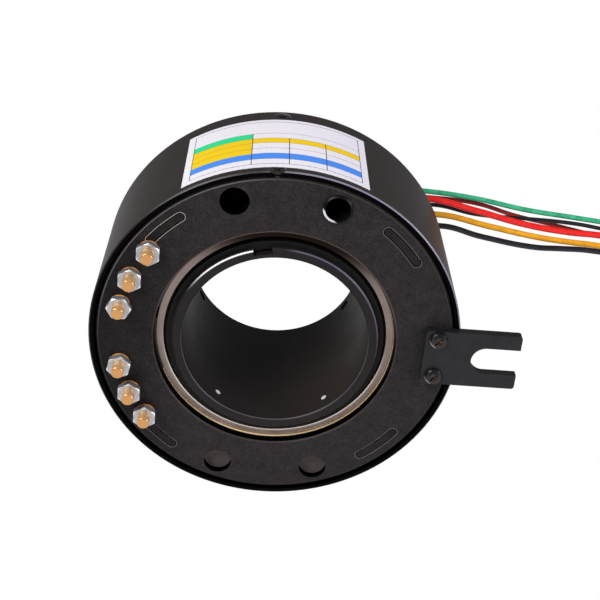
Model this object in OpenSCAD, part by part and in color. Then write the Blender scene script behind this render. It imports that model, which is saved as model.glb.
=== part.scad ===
// Through-bore electrical slip ring with terminal studs, torque arm and flying leads.
// The shaft axis lies along Y, the terminal face looks towards -Y, the torque arm points
// along +X and +Z is up. The origin is on the shaft axis at mid-length of the housing.
// All sizes are in millimetres.

// The sub-parts, one named piece or group of like pieces each

// The sub-part to draw, or "all"

/* [Shaft and rotor] */

// Diameter of the shaft bore
bore_diameter = 60; // [56:0.5:60]

// Wall of the rotor sleeve
sleeve_wall = 3.2; // [3:0.1:3.2]

// How far the sleeve stands out behind the housing
sleeve_tail = 9.75; // [8:0.25:12]

// Width of the drive slot in the front end of the sleeve
drive_slot_width = 6; // [4:0.5:6]

// Depth of the drive slot, from the outside of the sleeve
drive_slot_depth = 1.9; // [1.2:0.1:2]

/* [Housing] */

// Outer diameter of the housing shell
housing_diameter = 119; // [119:0.5:124]

// Length of the housing shell
housing_length = 50.5; // [50.5:0.5:58]

// Wall of the housing shell
shell_wall = 1.65; // [1.2:0.05:1.8]

// How far the end plates sit inside the rims of the shell
plate_recess = 0.6; // [0.4:0.1:0.8]

/* [Slip rings] */

// Number of power circuits
power_circuits = 4; // [2:1:4]

// Number of signal circuits
signal_circuits = 2; // [1:1:2]

// Width of a power ring
power_ring_width = 3.2; // [2.6:0.1:3.2]

// Width of a signal ring
signal_ring_width = 1.6; // [1.2:0.1:1.6]

/* [Terminals] */

// Pitch circle diameter of the terminal studs and the cable outlets
terminal_circle = 101.5; // [101:0.1:102]

// Diameter of the terminal studs
stud_diameter = 4; // [3.5:0.1:4]

// Free length of each stud beyond its nut
stud_free_length = 3.4; // [3:0.1:8]

// Diameter of the cable outlets
outlet_diameter = 9.2; // [8:0.2:10]

/* [Torque arm] */

// Width of the torque arm
arm_width = 19.5; // [18:0.5:22]

// Thickness of the torque arm
arm_thickness = 3; // [2:0.1:4]

// Distance from the shaft axis to the tip of the arm
arm_reach = 78.5; // [76:0.5:90]

// Width of the fork slot that takes the anti-rotation pin
fork_slot_width = 9.4; // [6:0.2:10]

/* [Label] */

// Length of the label around the housing
label_length = 59.5; // [30:0.5:80]

// Width of the label along the housing
label_width = 39.5; // [20:0.5:40]

/* [Hidden] */

// Facets of round pieces, which the exact model replaces by true curves
$fn = 96;
ball_facets = 24;
cut = 1;

// Fits
plug_gap = 0.1;        // end plate in the shell, radial
thread_gap = 0.02;     // threads, pressed pins and the glue under the label, radial
loose_gap = 0.15;      // screws through plates, arm in its notch
cage_gap = 0.05;       // balls in their races and cages
brush_gap = 0.05;      // brush face over its ring
side_gap = 0.1;        // brush in its box

// Housing
shell_r = housing_diameter / 2;
shell_inner_r = shell_r - shell_wall;
front_rim = -housing_length / 2;
rear_rim = housing_length / 2;
shell_edge = 0.4;
front_face = front_rim + plate_recess;
rear_face = rear_rim - plate_recess;
plate_r = shell_inner_r - plug_gap;
front_plate_depth = 11.4;
rear_plate_depth = 10.4;
step_r = plate_r - 0.45;
step_depth = 1.5;
step_bevel = [0.8, 0.5];
bore_bevel = 0.4;

// Rotor
bore_r = bore_diameter / 2;
sleeve_r = bore_r + sleeve_wall;
sleeve_front = front_rim + 0.9;
sleeve_rear = rear_rim + sleeve_tail;
bore_edge = 0.4;
sleeve_edge = 0.6;
drive_slot_angle = 100.6;
drive_slot_length = 3;
hub_r = sleeve_r + 4.8;
hub_flange_r = hub_r + 2;
hub_flange_width = 1.4;
collar_r = hub_flange_r;

// Bearings: width, ball radius, and the radii of the front and the rear races
bearing_width = 7;
ball_r = 1.4;
front_race = [sleeve_r, sleeve_r + 1.8, sleeve_r + 2.75, sleeve_r + 4.9];
rear_race = [hub_r, hub_r + 2, hub_r + 3, hub_r + 5.1];
front_bearing_y = front_face + 3.4;
rear_bearing_y = rear_face - 2.4 - bearing_width;
front_balls = 30;
rear_balls = 34;
cage_width = 3.8;
shoulder_width = 1;
shoulder_lip = 1.2;

// Snap rings: inner radius below the seat and depth of the groove beyond it
snap_ring_width = 0.8;
snap_ring_play = 0.05;
snap_inner_step = 0.15;
snap_groove_depth = 1.25;
snap_mouth = 0.8;
snap_ring_opening = 4;
snap_ring_angle = 170;

// Retaining ring on the sleeve
retaining_groove_depth = 1;
retaining_ring_width = 0.95;
retaining_ring_opening = 3;

// Contact ring stack, from the hub flange forwards
ring_r = hub_r + 6;
barrier_r = ring_r + 1.5;
barrier_width = 1.5;
circuits = power_circuits + signal_circuits;
stack_rear = rear_bearing_y - hub_flange_width;
function ring_width(i) = i < power_circuits ? power_ring_width : signal_ring_width;
function rings_before(i) = i == 0 ? 0 : rings_before(i - 1) + ring_width(i - 1) + barrier_width;
function ring_rear(i) = stack_rear - barrier_width - rings_before(i);
function ring_middle(i) = ring_rear(i) - ring_width(i) / 2;
stack_front = ring_rear(circuits);
hub_nose_r = sleeve_r + 2.3;

// Brush blocks, one behind each arc slot of the front plate
block_angles = [45, 134, 226.5, 315];
block_inner_r = barrier_r + 1.5;
block_outer_r = shell_inner_r - 2.3;
block_span = 23;
slot_r = terminal_circle / 2 + 1.75;
slot_width = 3;
tongue_gap = 0.35;
slot_half_spans = [7.7, 6.7, 6.7, 7.7];
brush_length = 6.5;
brush_breadth = 5;
brush_side = 0.3;

// Terminals
stud_angles = [144, 156.5, 168.5, 193, 205, 216.5];
nut_turns = [0, 0, 30, -12, 0, 0];
stud_r = stud_diameter / 2;
stud_root_r = stud_r - 0.2;
terminal_r = terminal_circle / 2;
stud_shank_r = stud_r - 0.45;
stud_depth = 8;
stud_tip = 0.3;
washer_r = 3.3;
washer_width = 1.1;
nut_flats = 7;
nut_height = 2.4;
nut_bevel = 0.35;
nut_front = front_face - washer_width - nut_height;
stud_end = nut_front - stud_free_length;

// Cable outlets: two open, two closed by a thin web
open_outlets = [72, 108];
blind_outlets = [251.7, 288.6];
blind_depth = 3;
blind_floor_cone = 0.5;
bush_angle = 72;
outlet_r = outlet_diameter / 2;
bush_wall = 0.7;
bush_proud = 0.9;
bush_bevel = 0.5;

// Torque arm
arm_inner_x = shell_r - 11.8;
arm_corner = 1;
fork_r = fork_slot_width / 2;
fork_x = arm_reach - 10.7;
arm_screw_x = shell_r - 7.7;
arm_screw_z = 6.7;
arm_screw_r = 1.5;
arm_screw_depth = 7;
screw_head_r = 2.9;
screw_head_height = 1.7;
recess_arm = 0.75;
recess_reach = 1.5;
recess_depth = 1.1;

// Countersunk screws through the shell: angle and place along the axis
front_shell_screw = [93.4, front_rim + 1.55];
rear_shell_screw = [92.2, rear_rim - 4.25];
shell_screws_at = [front_shell_screw, rear_shell_screw];
shell_screw_r = 0.9;
shell_head_r = 2.55;
shell_head_inset = 0.25;
shell_screw_depth = 5;

// Label
label_thickness = 0.1;
label_angle = 93.9;
label_span = label_length / shell_r * 180 / PI;
label_front = front_rim + 3.1;

// Pins flush in the sleeve wall
pin_angles = [-125, -53, 19, 91, 163];
pin_r = 1;
pin_y = front_rim + 7.15;
pin_inset = 0.1;

// Set screws that clamp the collar and the sleeve on the shaft
set_screw_angles = [90, 210, 330];
set_screw_r = 2;
set_screw_inset = 0.4;
set_screw_y = sleeve_rear - 4.6;
socket_flats = 2;
socket_depth = 2;

// Leads: radius, angle of the hole in the collar, and the points of the route after it
lead_circle_r = sleeve_r + 3.4;
lead_hole_depth = 3;
lead_hole_gap = 0.1;
tip_length = 8;
tip_ratio = 0.62;
lead_sides = 8;
route_circle_r = 36.6;
route_sleeve_rear = 35;
green_route = [
  [29, 41, 22.8], [31.5, 46.5, 23.5], [38, 49, 24.3], [52, 49, 24.5], [71, 49, 23], [90, 49, 20],
  [106, 49, 18.5], [118, 49, 17.4], [130, 49, 16], [142, 49, 12.6], [149, 49, 5.5],
  [151.2, 49.1, -4], [151.4, 49.2, -60], [151.4, 49.2, -107]
];
dark_red_route = [
  [31.3, 42, 19.6], [34, 48.5, 20.3], [40, 51, 21.2], [54, 51, 21.3], [72, 51, 20.2], [87, 51, 16.5],
  [101, 51, 14], [114, 51, 11.6], [127, 51.2, 9.4], [139, 51.3, 5], [146.5, 51.4, -1.6],
  [149.6, 51.4, -11], [150, 51.4, -62], [150, 51.4, -116]
];
red_route = [
  [33, 38.5, 16.4], [35.5, 43, 18.5], [41, 45, 21.6], [53, 45, 23.3], [71, 45, 20], [90, 45, 15.9],
  [106, 45, 14.1], [118, 45, 13.7], [131, 45, 12], [142, 45.2, 7.4], [148.5, 45.5, -0.2],
  [150.3, 45.6, -9.5], [150.5, 45.7, -62], [150.5, 45.7, -118]
];
thin_black_route = [
  [34.6, 41, 13], [37, 46, 14.6], [43, 48, 18], [56, 48, 19.7], [72, 48, 17.2], [90, 48, 16.9],
  [106, 48, 16.5], [116, 48, 15.5], [129, 48, 13], [140, 48.1, 8.4], [147, 48.2, 1],
  [149.2, 48.2, -8], [149.5, 48.2, -62], [149.5, 48.2, -117]
];
yellow_route = [
  [35.6, 38.5, 9.4], [38.5, 42.5, 11.8], [45, 44, 16], [57, 44, 17.8], [77, 44, 14.5], [96, 44, 11.5],
  [108, 44, 10.5], [117, 44, 10], [130, 43.8, 8], [141, 43.4, 3.2], [147.5, 43, -4.6],
  [149.7, 43, -14], [150, 43, -68], [150, 43, -126]
];
black_route = [
  [36.3, 36.5, 5.1], [38.2, 39.9, 6.6], [44, 41, 11], [58, 41, 14.7], [74, 41, 11.6], [94, 41, 8.9],
  [104, 41, 9.1], [114, 41, 9.2], [127.5, 40.8, 7.4], [140, 40.5, 2.6], [147.3, 40.3, -5],
  [149.7, 40.3, -14.5], [150, 40.3, -70], [150, 40.3, -130]
];
green_lead_at = [0.93, 38, green_route];
dark_red_lead_at = [0.8, 32, dark_red_route];
red_lead_at = [1.2, 26, red_route];
thin_black_lead_at = [0.75, 20, thin_black_route];
yellow_lead_at = [1.1, 14, yellow_route];
black_lead_at = [1.05, 8, black_route];
leads = [green_lead_at, dark_red_lead_at, red_lead_at, thin_black_lead_at, yellow_lead_at, black_lead_at];

// ---------- Shapes shared by the sub-parts ----------

// A shape turned about the Y axis, from [radius, y] points
module turned(points) rotate([-90, 0, 0]) rotate_extrude() polygon(points);

// A plain ring from one radius and station to another
module band(inner, outer, from, to)
  turned([[inner, from], [outer, from], [outer, to], [inner, to]]);

// Part of a ring between two angles
module sector(inner, outer, from, to, first, last)
  rotate([0, -last, 0])
    rotate([-90, 0, 0])
      rotate_extrude(angle = last - first)
        polygon([[inner, from], [outer, from], [outer, to], [inner, to]]);

// Children turned to an angle about the shaft, X outwards, and moved out by a radius
module at_angle(a, r = 0) rotate([0, -a, 0]) translate([r, 0, 0]) children();

// A round bar along Y
module bar(r, from, to) translate([0, from, 0]) rotate([-90, 0, 0]) cylinder(r = r, h = to - from);

// A round bar pointing outwards along X
module spoke(r, from, to) translate([from, 0, 0]) rotate([0, 90, 0]) cylinder(r = r, h = to - from);

// An arc slot with round ends, its middle line on one radius to either side of the X axis
module arc_slot(r, width, half_span, from, to) {
  sector(r - width / 2, r + width / 2, from, to, -half_span, half_span);
  for (side = [-1, 1])
    at_angle(side * half_span, r)
      bar(width / 2, from, to);
}

// A ring that is open over a stretch of its round
module open_ring(inner, outer, from, to, angle, opening)
  difference() {
    band(inner, outer, from, to);
    at_angle(angle)
      translate([inner - cut, from - cut, -opening / 2])
        cube([outer - inner + 2 * cut, to - from + 2 * cut, opening]);
  }

// ---------- Housing ----------

module housing_shell() color([0.12, 0.12, 0.12])
  difference() {
    turned([
      [shell_inner_r, front_rim], [shell_r - shell_edge, front_rim], [shell_r, front_rim + shell_edge],
      [shell_r, rear_rim - shell_edge], [shell_r - shell_edge, rear_rim], [shell_inner_r, rear_rim]
    ]);
    for (place = shell_screws_at)
      at_angle(place[0])
        translate([0, place[1], 0])
          shell_screw_cutter();
    translate([shell_inner_r - 2 * cut, front_rim - cut, -arm_width / 2 - loose_gap])
      cube([shell_wall + 4 * cut, cut + plate_recess + loose_gap, arm_width + 2 * loose_gap]);
  }

module shell_screw_cutter() {
  head_seat = shell_r - shell_head_inset - (shell_head_r - shell_screw_r);
  spoke(shell_screw_r + thread_gap, shell_inner_r - shell_screw_depth, shell_r + cut);
  translate([head_seat - thread_gap, 0, 0])
    rotate([0, 90, 0])
      cylinder(
        r1 = shell_screw_r,
        r2 = shell_head_r + shell_head_inset + thread_gap,
        h = shell_r - head_seat + thread_gap
      );
  translate([shell_r, 0, 0])
    rotate([0, 90, 0])
      cylinder(r = shell_head_r + shell_head_inset + thread_gap, h = cut);
}

module shell_screws() color([0.1, 0.1, 0.1])
  for (place = shell_screws_at)
    at_angle(place[0])
      translate([0, place[1], 0])
        shell_screw();

module shell_screw() {
  head_top = shell_r - shell_head_inset;
  head_seat = head_top - (shell_head_r - shell_screw_r);
  difference() {
    union() {
      spoke(shell_screw_r, shell_inner_r - shell_screw_depth + cut, head_seat);
      translate([head_seat, 0, 0])
        rotate([0, 90, 0])
          cylinder(r1 = shell_screw_r, r2 = shell_head_r, h = head_top - head_seat);
    }
    translate([head_top - recess_depth, 0, 0])
      rotate([0, 90, 0])
        cross_recess();
  }
}

// A cross recess that opens towards +Z
module cross_recess()
  for (turn = [0, 90])
    rotate([0, 0, turn + 45])
      translate([-recess_reach, -recess_arm / 2, 0])
        cube([2 * recess_reach, recess_arm, recess_depth + cut]);

module front_end_plate() color([0.16, 0.15, 0.15]) {
  seat_r = front_race[3];
  mouth_r = seat_r + snap_mouth;
  groove_r = seat_r + snap_groove_depth;
  plate_back = front_face + front_plate_depth;
  difference() {
    turned([
      [mouth_r + bore_bevel, front_face],
      [step_r - step_bevel[0], front_face],
      [step_r, front_face + step_bevel[1]],
      [step_r, front_face + step_depth],
      [plate_r, front_face + step_depth],
      [plate_r, plate_back],
      [seat_r - shoulder_lip, plate_back],
      [seat_r - shoulder_lip, plate_back - shoulder_width],
      [seat_r, plate_back - shoulder_width],
      [seat_r, front_bearing_y],
      [groove_r, front_bearing_y],
      [groove_r, front_bearing_y - snap_ring_width - 2 * snap_ring_play],
      [mouth_r, front_bearing_y - snap_ring_width - 2 * snap_ring_play],
      [mouth_r, front_face + bore_bevel]
    ]);
    for (angle = stud_angles)
      at_angle(angle, terminal_r)
        bar(stud_shank_r + thread_gap, front_face - cut, front_face + stud_depth);
    for (angle = open_outlets)
      at_angle(angle, terminal_r)
        bar(outlet_r, front_face - cut, plate_back + cut);
    for (angle = blind_outlets)
      at_angle(angle, terminal_r)
        turned([
          [0, front_face - cut], [outlet_r, front_face - cut], [outlet_r, front_face + blind_depth],
          [0, front_face + blind_depth + blind_floor_cone]
        ]);
    for (i = [0 : len(block_angles) - 1])
      at_angle(block_angles[i])
        arc_slot(slot_r, slot_width, slot_half_spans[i], front_face - cut, plate_back + cut);
    for (side = [-1, 1])
      translate([arm_screw_x, 0, side * arm_screw_z])
        bar(arm_screw_r + thread_gap, front_face - cut, front_face + arm_screw_depth + cut);
    at_angle(front_shell_screw[0])
      translate([0, front_shell_screw[1], 0])
        shell_screw_cutter();
  }
}

module rear_end_plate() color([0.16, 0.15, 0.15]) {
  seat_r = rear_race[3];
  mouth_r = seat_r + snap_mouth;
  groove_r = seat_r + snap_groove_depth;
  plate_front = rear_face - rear_plate_depth;
  groove_front = rear_bearing_y + bearing_width;
  groove_back = groove_front + snap_ring_width + 2 * snap_ring_play;
  difference() {
    turned([
      [seat_r - shoulder_lip, plate_front],
      [plate_r, plate_front],
      [plate_r, rear_face],
      [mouth_r + bore_bevel, rear_face],
      [mouth_r, rear_face - bore_bevel],
      [mouth_r, groove_back],
      [groove_r, groove_back],
      [groove_r, groove_front],
      [seat_r, groove_front],
      [seat_r, rear_bearing_y],
      [seat_r - shoulder_lip, rear_bearing_y]
    ]);
    at_angle(rear_shell_screw[0])
      translate([0, rear_shell_screw[1], 0])
        shell_screw_cutter();
  }
}

module label() color([0.95, 0.95, 0.97])
  sector(
    shell_r + thread_gap, shell_r + thread_gap + label_thickness, label_front, label_front + label_width,
    label_angle - label_span / 2, label_angle + label_span / 2
  );

// ---------- Bearings and their rings ----------

function pitch_r(race) = (race[1] + race[2]) / 2;

module outer_ring(race, y)
  difference() {
    band(race[2], race[3], y, y + bearing_width);
    ball_track(race, y);
  }

module inner_ring(race, y)
  difference() {
    band(race[0], race[1], y, y + bearing_width);
    ball_track(race, y);
  }

module ball_track(race, y)
  rotate([-90, 0, 0])
    rotate_extrude()
      translate([pitch_r(race), y + bearing_width / 2])
        circle(r = ball_r + cage_gap, $fn = ball_facets);

module ball_set(race, y, count)
  for (i = [0 : count - 1])
    at_angle(i * 360 / count, pitch_r(race))
      translate([0, y + bearing_width / 2, 0])
        sphere(r = ball_r, $fn = ball_facets);

module cage(race, y, count)
  difference() {
    band(race[1] + 2 * cage_gap, race[2] - 2 * cage_gap,
         y + (bearing_width - cage_width) / 2, y + (bearing_width + cage_width) / 2);
    for (i = [0 : count - 1])
      at_angle(i * 360 / count)
        translate([0, y + bearing_width / 2, 0])
          spoke(ball_r + cage_gap, race[1] - cut, race[2] + cut);
  }

module front_bearing_outer_ring() color([0.5, 0.46, 0.44]) outer_ring(front_race, front_bearing_y);

module front_bearing_inner_ring() color([0.5, 0.46, 0.44]) inner_ring(front_race, front_bearing_y);

module front_bearing_balls() color([0.7, 0.7, 0.72]) ball_set(front_race, front_bearing_y, front_balls);

module front_bearing_cage() color([0.6, 0.5, 0.3]) cage(front_race, front_bearing_y, front_balls);

module rear_bearing_outer_ring() color([0.5, 0.46, 0.44]) outer_ring(rear_race, rear_bearing_y);

module rear_bearing_inner_ring() color([0.5, 0.46, 0.44]) inner_ring(rear_race, rear_bearing_y);

module rear_bearing_balls() color([0.7, 0.7, 0.72]) ball_set(rear_race, rear_bearing_y, rear_balls);

module rear_bearing_cage() color([0.6, 0.5, 0.3]) cage(rear_race, rear_bearing_y, rear_balls);

module front_snap_ring() color([0.8, 0.6, 0.3])
  snap_ring(front_race[3], front_bearing_y - snap_ring_width - snap_ring_play);

module rear_snap_ring() color([0.8, 0.6, 0.3])
  snap_ring(rear_race[3], rear_bearing_y + bearing_width + snap_ring_play);

// An internal snap ring that rests in the groove beyond a bearing seat
module snap_ring(seat_r, y)
  open_ring(
    seat_r + snap_inner_step, seat_r + snap_groove_depth - snap_ring_play, y, y + snap_ring_width,
    snap_ring_angle, snap_ring_opening
  );

module sleeve_retaining_ring() color([0.12, 0.12, 0.12])
  open_ring(
    sleeve_r - retaining_groove_depth, front_race[1], front_bearing_y - retaining_ring_width,
    front_bearing_y, 270, retaining_ring_opening
  );

module outlet_bush() color([0.2, 0.2, 0.22])
  at_angle(bush_angle, terminal_r)
    turned([
      [outlet_r - bush_wall, front_face - bush_proud],
      [outlet_r - thread_gap - bush_bevel, front_face - bush_proud],
      [outlet_r - thread_gap, front_face - bush_proud + bush_bevel],
      [outlet_r - thread_gap, front_face + front_plate_depth],
      [outlet_r - bush_wall, front_face + front_plate_depth]
    ]);

// ---------- Terminals ----------

module terminal_studs() color([0.8, 0.55, 0.25])
  for (angle = stud_angles)
    at_angle(angle, terminal_r)
      turned([
        [0, stud_end], [stud_r - stud_tip, stud_end], [stud_r, stud_end + stud_tip],
        [stud_r, nut_front], [stud_root_r, nut_front], [stud_root_r, front_face],
        [stud_shank_r, front_face], [stud_shank_r, front_face + stud_depth],
        [0, front_face + stud_depth]
      ]);

module stud_washers() color([0.8, 0.58, 0.28])
  for (angle = stud_angles)
    at_angle(angle, terminal_r)
      difference() {
        bar(washer_r, front_face - washer_width, front_face);
        bar(stud_root_r + thread_gap, front_face - 2 * cut, front_face + cut);
      }

module stud_nuts() color([0.62, 0.63, 0.66])
  for (i = [0 : len(stud_angles) - 1])
    at_angle(stud_angles[i], terminal_r)
      rotate([0, stud_angles[i] - 90 - nut_turns[i], 0])
        hex_nut();

// A hexagon nut with turned corners at both faces, two corners on the local X axis
module hex_nut() {
  corner_r = nut_flats / sqrt(3);
  face_r = nut_flats / 2;
  corner_depth = nut_bevel * (1 + cut / (corner_r - face_r));
  difference() {
    intersection() {
      translate([0, nut_front, 0])
        rotate([-90, 0, 0])
          cylinder(r = corner_r, h = nut_height, $fn = 6);
      turned([
        [0, nut_front], [face_r, nut_front], [corner_r + cut, nut_front + corner_depth],
        [corner_r + cut, nut_front + nut_height - corner_depth],
        [face_r, nut_front + nut_height], [0, nut_front + nut_height]
      ]);
    }
    bar(stud_root_r + thread_gap, nut_front - cut, nut_front + nut_height + cut);
  }
}

// ---------- Torque arm ----------

module torque_arm() color([0.14, 0.14, 0.15])
  translate([0, front_face, 0])
    rotate([90, 0, 0])
      linear_extrude(arm_thickness)
        difference() {
          rounded_plate(arm_inner_x, arm_reach, arm_width, arm_corner);
          translate([fork_x, 0])
            circle(r = fork_r);
          translate([fork_x, -fork_r])
            square([arm_reach - fork_x + cut, fork_slot_width]);
          for (side = [-1, 1])
            translate([arm_screw_x, side * arm_screw_z])
              circle(r = arm_screw_r + loose_gap);
        }

// A flat outline with round corners between two X positions
module rounded_plate(from, to, width, r) {
  translate([from + r, -width / 2])
    square([to - from - 2 * r, width]);
  translate([from, -width / 2 + r])
    square([to - from, width - 2 * r]);
  for (x = [from + r, to - r], side = [-1, 1])
    translate([x, side * (width / 2 - r)])
      circle(r = r);
}

module torque_arm_screws() color([0.08, 0.08, 0.08])
  for (side = [-1, 1])
    translate([arm_screw_x, front_face - arm_thickness, side * arm_screw_z])
      pan_screw();

// A pan head screw whose head sits on y = 0 and looks towards -Y
module pan_screw()
  difference() {
    union() {
      turned([
        [0, -screw_head_height], [screw_head_r * 0.55, -screw_head_height * 0.96],
        [screw_head_r * 0.84, -screw_head_height * 0.8], [screw_head_r * 0.97, -screw_head_height * 0.45],
        [screw_head_r, 0], [0, 0]
      ]);
      bar(arm_screw_r, 0, arm_thickness + arm_screw_depth);
    }
    translate([0, recess_depth - screw_head_height, 0])
      rotate([90, 0, 0])
        cross_recess();
  }

// ---------- Brush gear ----------

module brush_blocks() color([0.25, 0.24, 0.22])
  for (i = [0 : len(block_angles) - 1])
    at_angle(block_angles[i])
      brush_block(slot_half_spans[i]);

// A holder whose tongue fills an arc slot of the front plate
module brush_block(half_span) {
  block_front = front_face + front_plate_depth;
  block_rear = rear_face - rear_plate_depth;
  arc_slot(slot_r, slot_width - 2 * tongue_gap, half_span, front_face, block_front);
  difference() {
    sector(block_inner_r, block_outer_r, block_front, block_rear, -block_span / 2, block_span / 2);
    for (i = [0 : circuits - 1])
      translate([
        block_inner_r - cut, ring_middle(i) - brush_width(i) / 2 - side_gap,
        -brush_breadth / 2 - side_gap
      ])
        cube([
          ring_r + brush_length - block_inner_r + cut, brush_width(i) + 2 * side_gap,
          brush_breadth + 2 * side_gap
        ]);
  }
}

function brush_width(i) = ring_width(i) - 2 * brush_side;

module power_brushes() color([0.2, 0.18, 0.17]) brushes(0, power_circuits - 1);

module signal_brushes() color([0.55, 0.5, 0.42]) brushes(power_circuits, circuits - 1);

module brushes(first, last)
  for (angle = block_angles, i = [first : last])
    at_angle(angle)
      difference() {
        translate([ring_r - cut, ring_middle(i) - brush_width(i) / 2, -brush_breadth / 2])
          cube([brush_length + cut, brush_width(i), brush_breadth]);
        bar(ring_r + brush_gap, ring_rear(i) - ring_width(i) - cut, ring_rear(i) + cut);
      }

// ---------- Rotor ----------

module rotor_sleeve() color([0.42, 0.41, 0.42])
  difference() {
    turned([
      [bore_r + bore_edge, sleeve_front], [sleeve_r - sleeve_edge, sleeve_front],
      [sleeve_r, sleeve_front + sleeve_edge],
      [sleeve_r, front_bearing_y - retaining_ring_width - snap_ring_play],
      [sleeve_r - retaining_groove_depth, front_bearing_y - retaining_ring_width - snap_ring_play],
      [sleeve_r - retaining_groove_depth, front_bearing_y], [sleeve_r, front_bearing_y],
      [sleeve_r, sleeve_rear - sleeve_edge], [sleeve_r - sleeve_edge, sleeve_rear],
      [bore_r + bore_edge, sleeve_rear], [bore_r, sleeve_rear - bore_edge],
      [bore_r, sleeve_front + bore_edge]
    ]);
    at_angle(drive_slot_angle)
      translate([sleeve_r - drive_slot_depth, sleeve_front - cut, -drive_slot_width / 2])
        cube([drive_slot_depth + cut, drive_slot_length + cut, drive_slot_width]);
    for (angle = pin_angles)
      at_angle(angle)
        translate([0, pin_y, 0])
          spoke(pin_r + thread_gap, bore_r - cut, sleeve_r + cut);
    for (angle = set_screw_angles)
      at_angle(angle)
        translate([0, set_screw_y, 0])
          spoke(set_screw_r + thread_gap, bore_r - cut, sleeve_r + cut);
  }

module sleeve_pins() color([0.75, 0.75, 0.78])
  for (angle = pin_angles)
    at_angle(angle)
      translate([0, pin_y, 0])
        spoke(pin_r, bore_r + pin_inset, sleeve_r - pin_inset);

module insulating_hub() color([0.3, 0.28, 0.25])
  turned([
    [sleeve_r, front_bearing_y + bearing_width],
    [hub_nose_r, front_bearing_y + bearing_width],
    [hub_nose_r, stack_front],
    [hub_r, stack_front],
    [hub_r, stack_rear], [hub_flange_r, stack_rear],
    [hub_flange_r, rear_bearing_y], [hub_r, rear_bearing_y],
    [hub_r, rear_bearing_y + bearing_width], [sleeve_r, rear_bearing_y + bearing_width]
  ]);

module power_rings() color([0.82, 0.62, 0.32]) contact_rings(0, power_circuits - 1);

module signal_rings() color([0.88, 0.72, 0.35]) contact_rings(power_circuits, circuits - 1);

module contact_rings(first, last)
  for (i = [first : last])
    band(hub_r, ring_r, ring_rear(i) - ring_width(i), ring_rear(i));

module ring_barriers() color([0.3, 0.12, 0.08])
  for (i = [0 : circuits])
    band(hub_r, barrier_r, ring_rear(i), ring_rear(i) + barrier_width);

module rotor_collar() color([0.14, 0.14, 0.14])
  difference() {
    turned([
      [sleeve_r, rear_bearing_y + bearing_width], [collar_r, rear_bearing_y + bearing_width],
      [collar_r, sleeve_rear - sleeve_edge], [collar_r - sleeve_edge, sleeve_rear],
      [sleeve_r, sleeve_rear]
    ]);
    for (angle = set_screw_angles)
      at_angle(angle)
        translate([0, set_screw_y, 0])
          spoke(set_screw_r + thread_gap, sleeve_r - cut, collar_r + cut);
    for (lead = leads)
      at_angle(lead[1], lead_circle_r)
        bar(lead[0] + lead_hole_gap, sleeve_rear - lead_hole_depth, sleeve_rear + cut);
  }

module collar_set_screws() color([0.2, 0.2, 0.2])
  for (angle = set_screw_angles)
    at_angle(angle)
      translate([0, set_screw_y, 0])
        difference() {
          spoke(set_screw_r, bore_r + set_screw_inset, collar_r - set_screw_inset);
          translate([collar_r - set_screw_inset - socket_depth, 0, 0])
            rotate([0, 90, 0])
              cylinder(r = socket_flats / sqrt(3), h = socket_depth + cut, $fn = 6);
        }

// ---------- Leads ----------

function unit(v) = v / norm(v);

// Where a lead starts, at the foot of its hole in the collar
function lead_start(lead) = [
  lead_circle_r * cos(lead[1]), sleeve_rear - lead_hole_depth, lead_circle_r * sin(lead[1])
];

// The route's points after the start, carried along with the sleeve's rear face and its wall
function lead_points(lead) = concat([lead_start(lead)], [for (p = lead[2]) p + route_shift]);
route_shift = [lead_circle_r - route_circle_r, sleeve_rear - route_sleeve_rear, 0];

// The direction of a route at one of its points
function heading(points, i) =
  i == 0 ? [0, 1, 0]
  : i == len(points) - 1 ? unit(points[i] - points[i - 1])
  : unit(unit(points[i] - points[i - 1]) + unit(points[i + 1] - points[i]));

// The ring of corners around one point of a route
function ring_at(point, along, r) =
  let (side = unit(cross(along, [1, 0, 1])), top = cross(side, along))
  [
    for (k = [0 : lead_sides - 1])
      point + r * (cos(k * 360 / lead_sides) * side + sin(k * 360 / lead_sides) * top)
  ];

// A round lead swept along its route
module swept_lead(points, r) {
  last = len(points) - 1;
  corners = [for (i = [0 : last]) each ring_at(points[i], heading(points, i), r)];
  sides = [
    for (i = [0 : last - 1], k = [0 : lead_sides - 1])
      let (a = i * lead_sides + k, b = i * lead_sides + (k + 1) % lead_sides)
      [b, a, a + lead_sides, b + lead_sides]
  ];
  start_cap = [for (k = [0 : lead_sides - 1]) k];
  end_cap = [for (k = [lead_sides - 1 : -1 : 0]) last * lead_sides + k];
  polyhedron(points = corners, faces = concat(sides, [start_cap, end_cap]));
}

module lead_along(lead) swept_lead(lead_points(lead), lead[0]);

module green_lead() color([0.18, 0.63, 0.45]) lead_along(green_lead_at);

module dark_red_lead() color([0.5, 0.08, 0.07]) lead_along(dark_red_lead_at);

module red_lead() color([0.92, 0.12, 0.1]) lead_along(red_lead_at);

module thin_black_lead() color([0.1, 0.1, 0.1]) lead_along(thin_black_lead_at);

module yellow_lead() color([0.9, 0.65, 0.08]) lead_along(yellow_lead_at);

module black_lead() color([0.08, 0.08, 0.1]) lead_along(black_lead_at);

// ---------- The part ----------

housing_shell();
front_end_plate();
rear_end_plate();
shell_screws();
label();
front_bearing_outer_ring();
front_bearing_inner_ring();
front_bearing_balls();
front_bearing_cage();
rear_bearing_outer_ring();
rear_bearing_inner_ring();
rear_bearing_balls();
rear_bearing_cage();
front_snap_ring();
rear_snap_ring();
sleeve_retaining_ring();
outlet_bush();
terminal_studs();
stud_washers();
stud_nuts();
torque_arm();
torque_arm_screws();
brush_blocks();
power_brushes();
signal_brushes();
rotor_sleeve();
sleeve_pins();
insulating_hub();
power_rings();
signal_rings();
ring_barriers();
rotor_collar();
collar_set_screws();
green_lead();
dark_red_lead();
red_lead();
thin_black_lead();
yellow_lead();
black_lead();
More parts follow.
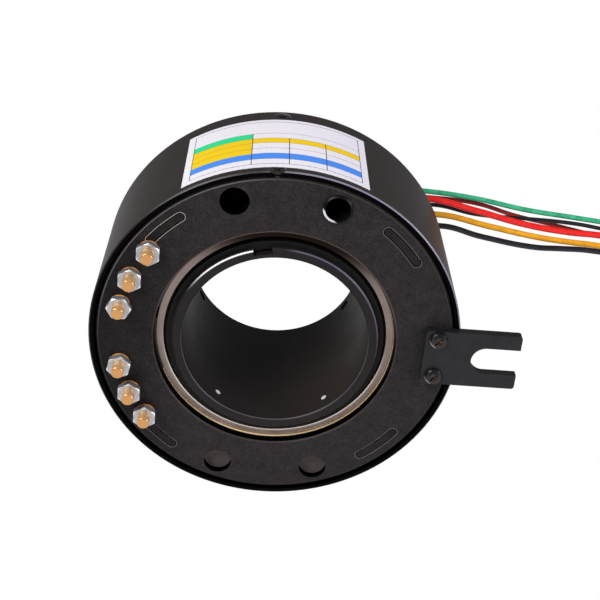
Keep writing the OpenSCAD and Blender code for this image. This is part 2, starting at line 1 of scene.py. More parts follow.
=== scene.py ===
"""Slip ring: camera, flying leads, finishes and studio around the CAD frame."""

import math

import bpy
from mathutils import Matrix, Vector


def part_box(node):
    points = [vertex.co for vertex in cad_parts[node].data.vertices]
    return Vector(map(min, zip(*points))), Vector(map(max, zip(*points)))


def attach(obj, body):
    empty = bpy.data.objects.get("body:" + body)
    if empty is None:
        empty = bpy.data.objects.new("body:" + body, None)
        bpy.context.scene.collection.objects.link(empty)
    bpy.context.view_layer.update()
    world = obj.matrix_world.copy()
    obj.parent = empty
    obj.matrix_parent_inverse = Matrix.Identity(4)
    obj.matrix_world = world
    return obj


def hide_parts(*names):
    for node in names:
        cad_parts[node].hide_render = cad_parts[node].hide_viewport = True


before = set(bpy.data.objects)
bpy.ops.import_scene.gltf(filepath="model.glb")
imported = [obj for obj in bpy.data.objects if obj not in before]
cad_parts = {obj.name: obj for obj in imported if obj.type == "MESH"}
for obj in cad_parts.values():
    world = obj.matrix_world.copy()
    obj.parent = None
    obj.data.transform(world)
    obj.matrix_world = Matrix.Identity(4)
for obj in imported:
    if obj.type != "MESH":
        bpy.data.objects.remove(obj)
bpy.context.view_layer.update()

MM = 0.001

# ---------- Sizes that the CAD gives, in metres ----------

shell_low, shell_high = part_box("housing_shell")
SHELL_R = shell_high.x
FRONT_RIM = shell_low.y
PLATE_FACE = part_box("front_end_plate")[0].y
SLEEVE_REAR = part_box("rotor_sleeve")[1].y
SLEEVE_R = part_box("rotor_sleeve")[1].x


# ---------- Camera ----------

# The view of the photograph, found from the circles of the shell, plate and bore
SENSOR_WIDTH_MM = 36
FOCAL_LENGTH_MM = 75.28
CAMERA_PLACE_MM = (-10.77, -370.5, 205.54)
CAMERA_TARGET_MM = (8.06, 0, 2.54)
CAMERA_ROLL_DEGREES = 5.4


def make_camera():
    """The photograph's view: from the front, a little to the left and well above."""
    data = bpy.data.cameras.new("camera")
    data.sensor_width = SENSOR_WIDTH_MM
    data.lens = FOCAL_LENGTH_MM
    camera = bpy.data.objects.new("camera", data)
    bpy.context.collection.objects.link(camera)
    eye = Vector(CAMERA_PLACE_MM) * MM
    target = Vector(CAMERA_TARGET_MM) * MM
    look = (target - eye).to_track_quat("-Z", "Y")
    roll = Matrix.Rotation(math.radians(CAMERA_ROLL_DEGREES), 4, "Z")
    camera.matrix_world = Matrix.Translation(eye) @ look.to_matrix().to_4x4() @ roll
    bpy.context.scene.camera = camera


# ---------- Leads ----------

# Circle of the lead holes in the rear collar, outside the sleeve
LEAD_CIRCLE = SLEEVE_R + 3.4 * MM
LEAD_HOLE_DEPTH = 3 * MM

# The stripped end: its length, how far it reaches back into the insulation, and its radius as a
# share of the insulation's radius
BARE_TIP = 7 * MM
TIP_OVERLAP = 1 * MM
TIP_SHARE = 0.62

# Each lead: radius in millimetres, angle of its hole in degrees, and its route after the hole in
# millimetres. Up to the photograph's right edge the route follows it, and past that the lead hangs
LEADS = {
    "green_lead": (0.93, 38, [
        (29, 41, 22.8), (31.5, 46.5, 23.5), (38, 49, 24.3), (52, 49, 24.5), (71, 49, 23),
        (90, 49, 20), (106, 49, 18.5), (118, 49, 17.4), (130, 49, 16), (142, 49, 12.6),
        (149, 49, 5.5), (151.2, 49.1, -4), (151.4, 49.2, -60), (151.4, 49.2, -107),
    ]),
    "dark_red_lead": (0.8, 32, [
        (31.3, 42, 19.6), (34, 48.5, 20.3), (40, 51, 21.2), (54, 51, 21.3), (72, 51, 20.2),
        (87, 51, 16.5), (101, 51, 14), (114, 51, 11.6), (127, 51.2, 9.4), (139, 51.3, 5),
        (146.5, 51.4, -1.6), (149.6, 51.4, -11), (150, 51.4, -62), (150, 51.4, -116),
    ]),
    "red_lead": (1.2, 26, [
        (33, 38.5, 16.4), (35.5, 43, 18.5), (41, 45, 21.6), (53, 45, 23.3), (71, 45, 20),
        (90, 45, 15.9), (106, 45, 14.1), (118, 45, 13.7), (131, 45, 12), (142, 45.2, 7.4),
        (148.5, 45.5, -0.2), (150.3, 45.6, -9.5), (150.5, 45.7, -62), (150.5, 45.7, -118),
    ]),
    "thin_black_lead": (0.75, 20, [
        (34.6, 41, 13), (37, 46, 14.6), (43, 48, 18), (56, 48, 19.7), (72, 48, 17.2),
        (90, 48, 16.9), (106, 48, 16.5), (116, 48, 15.5), (129, 48, 13), (140, 48.1, 8.4),
        (147, 48.2, 1), (149.2, 48.2, -8), (149.5, 48.2, -62), (149.5, 48.2, -117),
    ]),
    "yellow_lead": (1.1, 14, [
        (35.6, 38.5, 9.4), (38.5, 42.5, 11.8), (45, 44, 16), (57, 44, 17.8), (77, 44, 14.5),
        (96, 44, 11.5), (108, 44, 10.5), (117, 44, 10), (130, 43.8, 8), (141, 43.4, 3.2),
        (147.5, 43, -4.6), (149.7, 43, -14), (150, 43, -68), (150, 43, -126),
    ]),
    "black_lead": (1.05, 8, [
        (36.3, 36.5, 5.1), (38.2, 39.9, 6.6), (44, 41, 11), (58, 41, 14.7), (74, 41, 11.6),
        (94, 41, 8.9), (104, 41, 9.1), (114, 41, 9.2), (127.5, 40.8, 7.4), (140, 40.5, 2.6),
        (147.3, 40.3, -5), (149.7, 40.3, -14.5), (150, 40.3, -70), (150, 40.3, -130),
    ]),
}


def lead_start(angle):
    """The foot of a lead's hole in the collar."""
    turn = math.radians(angle)
    return Vector((
        LEAD_CIRCLE * math.cos(turn), SLEEVE_REAR - LEAD_HOLE_DEPTH, LEAD_CIRCLE * math.sin(turn)
    ))


def smooth_curve(name, points, radius):
    """A round bar along one smooth curve through the points."""
    data = bpy.data.curves.new(name, "CURVE")
    data.dimensions = "3D"
    data.bevel_depth = radius
    data.bevel_resolution = 5
    data.resolution_u = 10
    data.use_fill_caps = True
    spline = data.splines.new("BEZIER")
    spline.bezier_points.add(len(points) - 1)
    for place, point in zip(spline.bezier_points, points):
        place.co = point
        place.handle_left_type = "AUTO"
        place.handle_right_type = "AUTO"
    piece = bpy.data.objects.new(name, data)
    bpy.context.collection.objects.link(piece)
    return piece


def make_lead(name, radius_mm, angle, route):
    """One flying lead with its stripped and tinned end."""
    start = lead_start(angle)
    points = [start] + [Vector(point) * MM for point in route]
    hang = (points[-1] - points[-2]).normalized()
    end = points[-1].copy()
    points[-1] = end - hang * BARE_TIP
    lead = smooth_curve(name + "_wire", points, radius_mm * MM)
    tip_foot = end - hang * (BARE_TIP + TIP_OVERLAP)
    tip = smooth_curve(name + "_tip", [tip_foot, end], radius_mm * TIP_SHARE * MM)
    lead.data.materials.append(lead_finish(name))
    tip.data.materials.append(tinned_strands())
    for piece in (lead, tip):
        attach(piece, "rotor")
    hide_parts(name)


# ---------- Shading ----------

class Value:
    """One output of a tree of nodes. Sums of values read as plain sums."""

    def __init__(self, tree, socket):
        self.tree = tree
        self.socket = socket

    def maths(self, operation, *others):
        inputs = dict(enumerate((self, *others)))
        return self.tree.node("ShaderNodeMath", {"operation": operation}, inputs)

    def __add__(self, other):
        return self.maths("ADD", other)

    def __sub__(self, other):
        return self.maths("SUBTRACT", other)

    def __mul__(self, other):
        return self.maths("MULTIPLY", other)

    __radd__ = __add__
    __rmul__ = __mul__

    def __rsub__(self, other):
        return self * -1.0 + other

    def __abs__(self):
        return self.maths("ABSOLUTE")

    def above(self, level):
        return self.maths("GREATER_THAN", level)

    def below(self, level):
        return self.maths("LESS_THAN", level)

    def between(self, low, high):
        return self.above(low) * self.below(high)

    def at_least(self, other):
        return self.maths("MAXIMUM", other)

    def at_most(self, other):
        return self.maths("MINIMUM", other)

    def eased(self, low, high):
        """0 below low, 1 above high, smooth between them."""
        settings = {"interpolation_type": "SMOOTHSTEP"}
        return self.tree.node("ShaderNodeMapRange", settings, {0: self, 1: low, 2: high})


def distance(across, up):
    """Length of the diagonal of two values. From x and z it is the distance from the shaft axis."""
    return (across * across + up * up).maths("SQRT")


def turn(x, z):
    """Angle about the shaft axis, in radians from +X towards +Z."""
    return z.maths("ARCTAN2", x)


class NodeTree:
    """A tree of shader nodes, of a material or of the world."""

    def __init__(self, tree):
        self.tree = tree

    def node(self, kind, settings=None, inputs=None, output=0):
        """Adds a node of a type, with its settings and inputs, and gives one of its outputs."""
        made = self.tree.nodes.new(kind)
        for key, value in (settings or {}).items():
            setattr(made, key, value)
        for key, value in (inputs or {}).items():
            if isinstance(value, Value):
                self.tree.links.new(value.socket, made.inputs[key])
            else:
                made.inputs[key].default_value = value
        return Value(self, made.outputs[output])

    def feed(self, value, node, socket):
        self.tree.links.new(value.socket, self.tree.nodes[node].inputs[socket])


class Finish(NodeTree):
    """A procedural material on the Principled shader, built in the part's own frame."""

    def __init__(self, name, **constants):
        self.material = bpy.data.materials.new(name)
        self.material.use_nodes = True
        super().__init__(self.material.node_tree)
        for socket, value in constants.items():
            label = socket.replace("_", " ").title().replace("Ior", "IOR")
            self.tree.nodes["Principled BSDF"].inputs[label].default_value = value

    def give(self, socket, value):
        self.feed(value, "Principled BSDF", socket)

    def place(self):
        """The point in the part's frame, in millimetres, and its x, y and z."""
        metres = self.node("ShaderNodeTexCoord", output=3)
        point = self.node("ShaderNodeVectorMath", {"operation": "SCALE"}, {0: metres, 3: 1 / MM})
        return (point, *(self.node("ShaderNodeSeparateXYZ", None, {0: point}, i) for i in range(3)))

    def noise(self, point, scale, detail=3.0, rough=0.55):
        """Even noise about 0.5. scale is how many waves there are in a millimetre."""
        inputs = {"Vector": point, "Scale": scale, "Detail": detail, "Roughness": rough}
        return self.node("ShaderNodeTexNoise", None, inputs)

    def line_noise(self, along, waves):
        """Noise that varies along one value only, such as the tool marks of a lathe."""
        inputs = {"W": along * waves, "Scale": 1.0, "Detail": 3.0, "Roughness": 0.6}
        return self.node("ShaderNodeTexNoise", {"noise_dimensions": "1D"}, inputs)

    def mixed(self, factor, first, second):
        """A colour between two, by factor."""
        inputs = {0: factor, 6: first, 7: second}
        return self.node("ShaderNodeMix", {"data_type": "RGBA"}, inputs, 2)

    def bump(self, height, strength, depth):
        """A texture of the surface. depth is in metres."""
        inputs = {"Strength": strength, "Distance": depth, "Height": height}
        self.give("Normal", self.node("ShaderNodeBump", None, inputs))


def rgb(red, green, blue):
    """A colour given as the screen shows it, 0 to 255, in the shader's linear scale."""
    def linear(shown):
        level = shown / 255
        return level / 12.92 if level <= 0.04045 else ((level + 0.055) / 1.055) ** 2.4

    return (linear(red), linear(green), linear(blue), 1.0)


# ---------- Finishes ----------

# Where the finishes change, in millimetres in the part's frame. The front is towards -Y.
SHELL_RADIUS = SHELL_R / MM
PLATE_FACE_Y = PLATE_FACE / MM

# Axes of the arm's screws and of the bush
ARM_SCREW_X = 51.8
ARM_SCREW_Z = 6.7
BUSH_X = 15.7
BUSH_Z = 48.3

# Radii about the shaft axis, inner and outer where there are two
PLATE_BEVEL = (56.35, 57.4)
PLATE_BEVEL_HIGHLIGHT = (56.4, 56.8)
SNAP_RING_MOUTH = (38.8, 39.35)
SNAP_RING_WALL = 38.28
RACE_INNER_EDGE = 36.35
SLEEVE_BORE = 30.01
BORE_ARRIS = (30.02, 30.22)
RIM_ARRIS = (32.72, 33.12)

# Levels along the shaft, from the front to the rear
STUD_CUT = -31.3
SCREW_RECESS_MOUTH = -29.2
NUT_BEVEL = (-28.14, -27.72)
SCREW_HEAD_EDGE = -27.7
BUSH_RIM = -25.0
SLEEVE_ARRIS = (-24.4, -23.7)

# Depths below the front plate's face: the mouth of the bore with its painted highlight, where the
# holes and the bevel turn black as painted shade, and the floors of the closed outlets, lightened
# as painted light
MOUTH_DEPTH = 0.42
HOLES_BLACK = 0.45
BEVEL_BLACK = 0.6
CLOSED_OUTLET_FLOOR = 2.93

# Radius of the cross recess of an arm screw
RECESS_RADIUS = 1.75


def turned_metal(name, dark, light, rough, marks=6.0, face=False, pitch=None, wear_and_painted_light=None,
                 **constants):
    """Metal with the rings of a lathe, or with the thread ridges of a pitch.

    marks is how many rings there are in a millimetre, face rings the front as well as the side,
    and the colour function changes the colour by place, with painted highlights, painted shade and
    wear."""
    finish = Finish(name, **{"metallic": 1.0, **constants})
    point, x, y, z = finish.place()
    rings = finish.line_noise(distance(x, z) + y * 0.7 if face else y, marks)
    cloud = finish.noise(point, 0.12, 4.0)
    colour = finish.mixed((rings * 0.6 + cloud * 0.4).eased(0.3, 0.7), dark, light)
    if wear_and_painted_light:
        colour = wear_and_painted_light(finish, colour, x, y, z)
    finish.give("Base Color", colour)
    finish.give("Roughness", rings * 0.16 + cloud * 0.14 + (rough - 0.15))
    if pitch:
        finish.bump((y * (math.tau / pitch)).maths("SINE"), 0.6, 0.0001)
    else:
        finish.bump(rings, 0.15, 0.00005)
    return finish.material


def painted(name, dark, light, rough, grain_scale=3.0, depth=0.15, wear_and_painted_light=None, **constants):
    """An even coating with slight colour change and a fine texture. A colour function given adds
    painted highlights and painted shade by place.
    """
    finish = Finish(name, **constants)
    point, x, y, z = finish.place()
    grain = finish.noise(point, grain_scale, 3.0)
    cloud = finish.noise(point, 0.25, 3.0)
    colour = finish.mixed((grain * 0.5 + cloud * 0.5).eased(0.35, 0.65), dark, light)
    if wear_and_painted_light:
        colour = wear_and_painted_light(finish, colour, x, y, z)
    finish.give("Base Color", colour)
    finish.give("Roughness", grain * 0.15 + cloud * 0.1 + (rough - 0.12))
    finish.bump(grain, depth, 0.00004)
    return finish.material


def shell_finish():
    """Black satin anodised drum with fine rings. Its rims carry a painted lavender highlight at the
    upper right.

    The inside of the drum is painted near black as shade."""
    finish = Finish("anodised_shell", specular_ior_level=0.32)
    point, x, y, z = finish.place()
    radius = distance(x, z)
    rings = finish.line_noise(y, 5.0)
    cloud = finish.noise(point, 0.06, 4.0)
    grain = finish.noise(point, 6.0, 2.0)
    tone = (cloud * 0.6 + grain * 0.4).eased(0.3, 0.7)
    colour = finish.mixed(tone, rgb(30, 25, 24), rgb(44, 37, 36))
    # Painted shade: the inside of the drum is near black and mirror-dark
    inner = radius.below(SHELL_RADIUS - 0.45)
    # Painted highlight: the rims' arrises are lavender at the upper right
    upper_right = (x * 0.6 + z).eased(22.0, 50.0) * x.eased(-12.0, 8.0)
    edge = radius.below(SHELL_RADIUS - 0.03) * upper_right
    colour = finish.mixed(edge * (1.0 - inner), colour, rgb(128, 124, 138))
    finish.give("Base Color", finish.mixed(inner, colour, rgb(12, 11, 12)))
    finish.give("Metallic", inner)
    finish.give("Roughness", rings * 0.12 + cloud * 0.1 + 0.27)
    finish.bump(rings * 0.4 + grain * 0.6, 0.1, 0.00003)
    return finish.material


# The arc slots of the front plate: middle angle and half span in degrees
ARC_SLOTS = [(45, 7.7), (134, 6.7), (226.5, 6.7), (315, 7.7)]
SLOT_CIRCLE = 52.5
SLOT_HALF_WIDTH = 1.5


def slot_distance(radius, angle):
    """Distance from the outline of the nearest arc slot, in millimetres."""
    nearest = None
    for middle, half_span in ARC_SLOTS:
        middle = math.radians(middle if middle < 180 else middle - 360)
        past_end = (abs(angle - middle) - math.radians(half_span)).at_least(0.0) * SLOT_CIRCLE
        across = radius - SLOT_CIRCLE
        away = distance(past_end, across)
        nearest = away if nearest is None else nearest.at_most(away)
    return abs(nearest - SLOT_HALF_WIDTH)


def plate_finish():
    """Black laminate with a fine mottled grain, painted darker towards the left as shade. Painted
    highlights run along the slot outlines, the bevel and the mouth of the bore, painted shade turns
    its holes black, and painted light lightens the floors of the closed outlets.
    """
    finish = Finish("black_plate", specular_ior_level=0.17)
    point, x, y, z = finish.place()
    radius = distance(x, z)
    grain = finish.noise(point, 2.2, 3.0, 0.7)
    patches = finish.noise(point, 0.3, 3.0)
    scuffs_and_sheen = finish.noise(point, 0.9, 5.0, 0.7)
    # Painted shade: the tone darkens towards the far left, where less light falls
    tone = grain * 0.6 + patches * 0.2 + scuffs_and_sheen * 0.2 + x.eased(-62.0, -22.0) * 0.14 - 0.14
    colour = finish.mixed(tone.eased(0.3, 0.72), rgb(12, 10, 11), rgb(55, 49, 49))
    depth = -PLATE_FACE_Y - abs(y)
    # Painted highlight: a patchy light outline round the arc slots, brighter at the upper left
    line = slot_distance(radius, turn(x, z)).below(0.16) * depth.below(0.05) * y.below(0.0)
    lit = z.eased(-5.0, 20.0) * (1.0 - x.eased(-20.0, 5.0))
    colour = finish.mixed(line * scuffs_and_sheen.eased(0.25, 0.5), colour, rgb(108, 104, 104))
    colour = finish.mixed(line * lit, colour, rgb(172, 162, 152))
    edge = radius.between(*PLATE_BEVEL)
    # Painted highlight: a thin light line on the plate's bevel, strongest at the upper left
    bevel_highlight = radius.between(*PLATE_BEVEL_HIGHLIGHT) * (0.18 + lit * 0.6)
    colour = finish.mixed(bevel_highlight, colour, rgb(110, 106, 108))
    # Painted highlight: the mouth of the bore is lit, most at the top
    mouth = radius.between(*SNAP_RING_MOUTH) * depth.below(MOUTH_DEPTH)
    colour = finish.mixed(mouth * (0.15 + z.eased(0.0, 25.0) * 0.7), colour, rgb(100, 86, 77))
    floors = depth.above(CLOSED_OUTLET_FLOOR) * z.below(0.0)
    # Painted shade: down the holes and the deep part of the bevel the plate is near black and
    # mirror-dark
    shade_down_holes = depth.above(HOLES_BLACK) * (1.0 - floors) * (1.0 - edge)
    shade_in_depths = shade_down_holes.at_least(depth.above(BEVEL_BLACK) * edge)
    # Painted light: the floors of the closed outlets are lightened against the shadow that falls in
    # them
    colour = finish.mixed(floors, colour, rgb(90, 82, 80))
    finish.give("Base Color", finish.mixed(shade_in_depths, colour, rgb(4, 4, 4)))
    finish.give("Metallic", shade_in_depths)
    finish.give("Roughness", grain * 0.2 + patches * 0.15 + shade_in_depths * 0.5 + 0.36)
    finish.bump(grain, 0.25, 0.00008)
    return finish.material


LEAD_COLOURS = {
    "green_lead": (rgb(36, 150, 104), rgb(62, 186, 134)),
    "dark_red_lead": (rgb(124, 18, 24), rgb(166, 30, 34)),
    "red_lead": (rgb(216, 18, 14), rgb(242, 34, 26)),
    "thin_black_lead": (rgb(14, 14, 17), rgb(26, 26, 32)),
    "yellow_lead": (rgb(218, 146, 8), rgb(240, 174, 22)),
    "black_lead": (rgb(13, 13, 18), rgb(25, 25, 34)),
}


def lead_finish(name):
    """Smooth extruded insulation."""
    dark, light = LEAD_COLOURS[name]
    return painted("finish_" + name, dark, light, 0.34, 1.2, 0.08)


def tinned_strands():
    """Tinned copper strands, slightly uneven."""
    return painted("tinned_strands", rgb(170, 165, 155), rgb(215, 212, 205), 0.35, 4.0, 0.4,
                   metallic=1.0)


# Middle of the label, in degrees about the shaft axis
LABEL_ANGLE = 93.9


def label_finish():
    """The printed table on the label: coloured title cells, thin rules and blank fields."""
    finish = Finish("printed_label", specular_ior_level=0.3)
    point, x, y, z = finish.place()
    across = (math.radians(LABEL_ANGLE) - turn(x, z)) * SHELL_RADIUS
    along = y - FRONT_RIM / MM
    paper = finish.noise(point, 1.5, 3.0)
    colour = finish.mixed(paper.eased(0.3, 0.7), rgb(240, 237, 246), rgb(250, 247, 254))
    # The table's columns across and its rows along the housing, and half the width of each rule
    left, first, second, third, right = -27.2, -7.5, 4.1, 15.7, 27.3
    bottom, blue_low, blue_high, row, yellow_low, green_low, green_high, top = (
        5.7, 9.6, 14.0, 18.2, 22.7, 26.5, 30.7, 40.6)

    def fill(x0, x1, y0, y1, ink):
        nonlocal colour
        colour = finish.mixed(across.between(x0, x1) * along.between(y0, y1), colour, ink)

    yellow, green, blue = rgb(255, 214, 0), rgb(44, 230, 152), rgb(76, 148, 252)
    grey, dark = rgb(104, 98, 100), rgb(62, 58, 66)
    fill(left, first, blue_high, green_low, yellow)
    fill(first, right, yellow_low, green_low, yellow)
    fill(left, first, green_low, green_high, green)
    fill(left, right, blue_low, blue_high, blue)
    rules = [
        (first, right, row), (first, right, blue_high), (left, first, row),
        (left, first, yellow_low), (left, right, blue_low), (first, right, yellow_low),
        (left, right, green_low), (left, right, green_high),
    ]
    thin, bold, side_rule = 0.1, 0.13, 0.12
    for x0, x1, level in rules:
        fill(x0, x1, level - thin, level + thin, grey)
    for column, end in ((first, green_high), (second, green_low), (third, green_low)):
        fill(column - bold, column + bold, bottom, end, dark)
    for side in (left, right):
        fill(side - side_rule, side + side_rule, bottom, top, dark)
    for level in (bottom, top):
        fill(left, right, level - bold, level + bold, dark)
    finish.give("Base Color", colour)
    finish.give("Roughness", paper * 0.15 + 0.4)
    finish.bump(paper, 0.05, 0.00003)
    return finish.material


def race_shadow_and_highlight(finish, colour, x, y, z):
    """The outer race carries a painted shadow at its top and a painted highlight along its inner
    edge below.
    """
    # Painted highlight: the inner edge of the race is near white in the lower half
    inner_edge_highlight = distance(x, z).below(RACE_INNER_EDGE) * (1.0 - z.eased(-22.0, 0.0))
    colour = finish.mixed(inner_edge_highlight, colour, rgb(250, 240, 230))
    # Painted shadow: the race darkens to brown at its top
    return finish.mixed((z + x * 0.1).eased(19.0, 35.0), colour, rgb(40, 31, 27))


def snap_ring_shade(finish, colour, x, y, z):
    """Bare gold plating on the lower half of the snap rings' inner wall; the upper half and the
    other faces are painted near black as shade.
    """
    upper = (z - x * 0.4).above(0.0)
    black = distance(x, z).above(SNAP_RING_WALL).at_least(upper)
    # Painted shade: all but the lower inner wall is near black
    return finish.mixed(black, colour, rgb(14, 12, 11))


def cut_ends(finish, colour, x, y, z):
    """The sawn end of each stud is duller than its side."""
    return finish.mixed(y.below(STUD_CUT), colour, rgb(214, 158, 98))


def nut_bevel_highlight(finish, colour, x, y, z):
    """A painted highlight, near white, on the bevel round the front of each nut."""
    return finish.mixed(y.between(*NUT_BEVEL), colour, rgb(252, 252, 252))


def towards_lower_left(across, up):
    """How far a place lies towards the lower left, at 45 degrees."""
    return (across + up) * -0.7


def screw_shade_and_glints(finish, colour, x, y, z):
    """Painted shade with brown painted glints in the cross recesses of the arm's screws, and a
    painted highlight on the lower left of their heads.
    """
    across = x - ARM_SCREW_X
    away = distance(across, abs(z) - ARM_SCREW_Z)
    glints = finish.noise(finish.place()[0], 1.8, 2.0).eased(0.5, 0.6)
    recess = away.below(RECESS_RADIUS) * y.above(SCREW_RECESS_MOUTH)
    # Painted shade in the recess, with brown painted glints
    colour = finish.mixed(recess, colour, rgb(3, 3, 3))
    colour = finish.mixed(recess * glints, colour, rgb(176, 122, 90))
    low = towards_lower_left(across, z - z.maths("SIGN") * ARM_SCREW_Z)
    # Painted highlight: a lavender crescent on the lower left of each head
    bright = low.above(2.1) * y.below(SCREW_HEAD_EDGE)
    return finish.mixed(bright, colour, rgb(128, 122, 136))


def lit_crescent(finish, colour, x, y, z):
    """A painted highlight along the lower left of the bush's rim; elsewhere the bush is black."""
    low = towards_lower_left(x - BUSH_X, z - BUSH_Z)
    bright = low.eased(2.9, 3.6) * y.below(BUSH_RIM)
    return finish.mixed(1.0 - bright, colour, rgb(9, 9, 10))


def sleeve_edge_highlights(finish, colour, x, y, z):
    """The broken edges of the sleeve carry painted highlights: white at the upper left, bluish at
    the upper right, and a thin grey line along the bore's edge below.

    The wall of the bore is painted a little lighter and warmer at its right, as light falling in
    it."""
    radius = distance(x, z)
    # Painted light: the bore wall lightens and warms towards the right
    wall = radius.below(SLEEVE_BORE) * x.eased(-8.0, 26.0)
    colour = finish.mixed(wall, colour, rgb(40, 34, 31))
    front = y.between(*SLEEVE_ARRIS)
    # Painted highlight: a thin grey line on the lower part of the bore's edge
    bore = radius.between(*BORE_ARRIS) * front * (1.0 - z.eased(-8.0, 12.0))
    colour = finish.mixed(bore, colour, rgb(78, 74, 80))
    rim = radius.between(*RIM_ARRIS) * front
    # Painted highlights on the outer arris: bluish at the upper right, white at the upper left
    right = x.eased(0.0, 6.0) * z.eased(-12.0, 10.0)
    colour = finish.mixed(rim * right, colour, rgb(88, 84, 98))
    left = (1.0 - x.eased(-9.0, -5.0)) * (z + x * 0.25).eased(8.0, 20.0)
    return finish.mixed(rim * left, colour, rgb(236, 236, 240))


def dress(material, *nodes):
    """Gives a finish to CAD nodes."""
    for node in nodes:
        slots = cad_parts[node].data.materials
        slots.clear()
        slots.append(material)


def dress_cad():
    """Gives every CAD node but the leads its finish."""
    taupe = turned_metal("bearing_steel", rgb(140, 125, 118), rgb(180, 164, 156), 0.46, 5.0, True,
                         wear_and_painted_light=race_shadow_and_highlight)
    dress(taupe, "front_bearing_outer_ring", "rear_bearing_outer_ring")
    dress(turned_metal("race_steel", rgb(60, 56, 54), rgb(92, 86, 84), 0.4, 5.0, True),
          "front_bearing_inner_ring", "rear_bearing_inner_ring")
    dress(turned_metal("ball_steel", rgb(150, 150, 155), rgb(210, 210, 214), 0.2, 1.0),
          "front_bearing_balls", "rear_bearing_balls")
    dress(turned_metal("cage_dark", rgb(22, 18, 15), rgb(40, 32, 26), 0.5),
          "front_bearing_cage", "rear_bearing_cage")
    dress(turned_metal("plated_ring", rgb(246, 214, 148), rgb(255, 238, 196), 0.3, 8.0,
                       wear_and_painted_light=snap_ring_shade, metallic=0.2), "front_snap_ring", "rear_snap_ring")
    dress(shell_finish(), "housing_shell")
    dress(plate_finish(), "front_end_plate", "rear_end_plate")
    dress(painted("oxide_black", rgb(7, 6, 6), rgb(17, 15, 14), 0.6, 5.0, 0.2,
                  specular_ior_level=0.2), "sleeve_retaining_ring", "collar_set_screws")
    dress(painted("flush_screw_black", rgb(22, 19, 19), rgb(38, 33, 32), 0.5, 5.0, 0.2),
          "shell_screws")
    dress(painted("screw_black", rgb(8, 7, 8), rgb(18, 16, 17), 0.28, 5.0, 0.15, screw_shade_and_glints),
          "torque_arm_screws")
    # The light colours of the bush are its painted highlight; the colour function turns the rest
    # black
    dress(painted("bush_black", rgb(214, 212, 226), rgb(244, 242, 250), 0.4, 2.0, 0.1, lit_crescent,
                  specular_ior_level=0.15), "outlet_bush")
    dress(turned_metal("stud_brass", rgb(242, 186, 120), rgb(252, 212, 156), 0.32, 9.0, pitch=0.7,
                       wear_and_painted_light=cut_ends, metallic=0.6), "terminal_studs")
    dress(turned_metal("washer_brass", rgb(255, 158, 70), rgb(255, 190, 110), 0.34, 9.0,
                       metallic=0.3), "stud_washers")
    dress(turned_metal("zinc_plate", rgb(164, 166, 170), rgb(212, 213, 215), 0.36, 4.0, True,
                       wear_and_painted_light=nut_bevel_highlight, metallic=0.8), "stud_nuts")
    dress(painted("arm_black", rgb(15, 15, 18), rgb(29, 29, 33), 0.5, 2.5, 0.3,
                  specular_ior_level=0.35), "torque_arm")
    dress(label_finish(), "label")
    dress(painted("brush_holder", rgb(12, 10, 10), rgb(34, 30, 30), 0.55, specular_ior_level=0.2),
          "brush_blocks")
    dress(painted("brush_graphite", rgb(40, 38, 38), rgb(70, 66, 64), 0.5, metallic=0.4),
          "power_brushes")
    dress(painted("brush_silver", rgb(110, 104, 96), rgb(150, 144, 134), 0.45, metallic=0.8),
          "signal_brushes")
    dress(turned_metal("sleeve_black", rgb(22, 19, 19), rgb(34, 29, 29), 0.46, 4.0,
                       wear_and_painted_light=sleeve_edge_highlights, metallic=0.0, specular_ior_level=0.2), "rotor_sleeve")
    dress(turned_metal("pin_steel", rgb(226, 226, 230), rgb(250, 250, 252), 0.4, metallic=0.2),
          "sleeve_pins")
    dress(painted("hub_epoxy", rgb(120, 105, 80), rgb(150, 132, 104), 0.4), "insulating_hub")
    dress(turned_metal("ring_brass", rgb(190, 140, 70), rgb(230, 186, 110), 0.25, 10.0),
          "power_rings")
    dress(turned_metal("ring_gold", rgb(210, 165, 80), rgb(244, 208, 120), 0.2, 10.0),
          "signal_rings")
    dress(painted("barrier_resin", rgb(96, 36, 24), rgb(124, 52, 36), 0.45), "ring_barriers")
    dress(turned_metal("collar_black", rgb(24, 22, 23), rgb(40, 37, 38), 0.4, 5.0, metallic=0.0),
          "rotor_collar")


# ---------- Studio ----------

# Height of the floor, below the ends of the hanging leads
FLOOR_Z = -0.16
WORLD_TINT = (1.0, 0.97, 0.97, 1.0)
WORLD_STRENGTH = 0.2
WHITE = (1.0, 1.0, 1.0, 1.0)

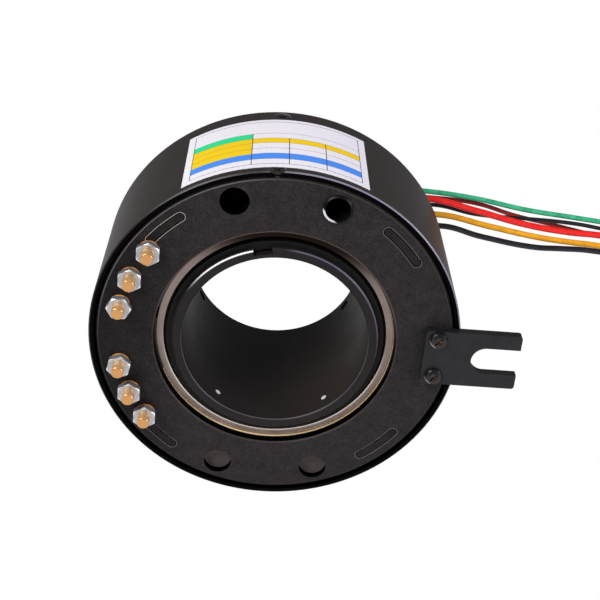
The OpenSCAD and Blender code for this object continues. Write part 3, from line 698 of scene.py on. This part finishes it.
# Each lamp: name, place in metres, power in watts, size in metres and colour
LAMPS = [
    ("key", (-0.57, -0.465, 0.675), 9.5, 0.5, (1, 1, 1)),
    ("right", (0.9, -0.3, 0.32), 5.0, 0.3, (0.9, 0.88, 1.0)),
    ("right_front", (0.68, -0.66, 0.2), 1.5, 0.25, (0.92, 0.9, 1.0)),
]


def studio_light(name, place, power, size, colour):
    """A soft square lamp that looks at the object."""
    data = bpy.data.lights.new(name, "AREA")
    data.energy = power
    data.size = size
    data.color = colour
    lamp = bpy.data.objects.new(name, data)
    bpy.context.collection.objects.link(lamp)
    eye = Vector(place)
    look = (-eye).to_track_quat("-Z", "Y").to_matrix().to_4x4()
    lamp.matrix_world = Matrix.Translation(eye) @ look


def seen_as_white(nodes, shader, output, white):
    """Shows plain white to the camera and the shader to everything else."""
    camera_ray = nodes.node("ShaderNodeLightPath")
    shown = nodes.node("ShaderNodeMixShader", None, {0: camera_ray, 1: shader, 2: white})
    nodes.feed(shown, output, "Surface")


def make_studio():
    """White surroundings, a floor that the camera sees as white, and the lamps."""
    world = bpy.data.worlds.new("studio")
    bpy.context.scene.world = world
    world.use_nodes = True
    sky = NodeTree(world.node_tree)
    tinted = {"Color": WORLD_TINT, "Strength": WORLD_STRENGTH}
    soft = sky.node("ShaderNodeBackground", None, tinted)
    white = sky.node("ShaderNodeBackground", None, {"Color": WHITE})
    seen_as_white(sky, soft, "World Output", white)

    bpy.ops.mesh.primitive_plane_add(size=6, location=(0, 0, FLOOR_Z))
    floor = bpy.context.object
    floor.name = "floor"
    pale = Finish("pale_floor", base_color=(0.8, 0.8, 0.8, 1), roughness=0.7)
    matt = Value(pale, pale.tree.nodes["Principled BSDF"].outputs[0])
    seen_as_white(pale, matt, "Material Output", pale.node("ShaderNodeEmission"))
    floor.data.materials.append(pale.material)

    for lamp in LAMPS:
        studio_light(*lamp)


make_camera()
for lead_name, (lead_radius, lead_angle, lead_route) in LEADS.items():
    make_lead(lead_name, lead_radius, lead_angle, lead_route)
dress_cad()
make_studio()
bpy.context.scene.view_settings.view_transform = "Standard"
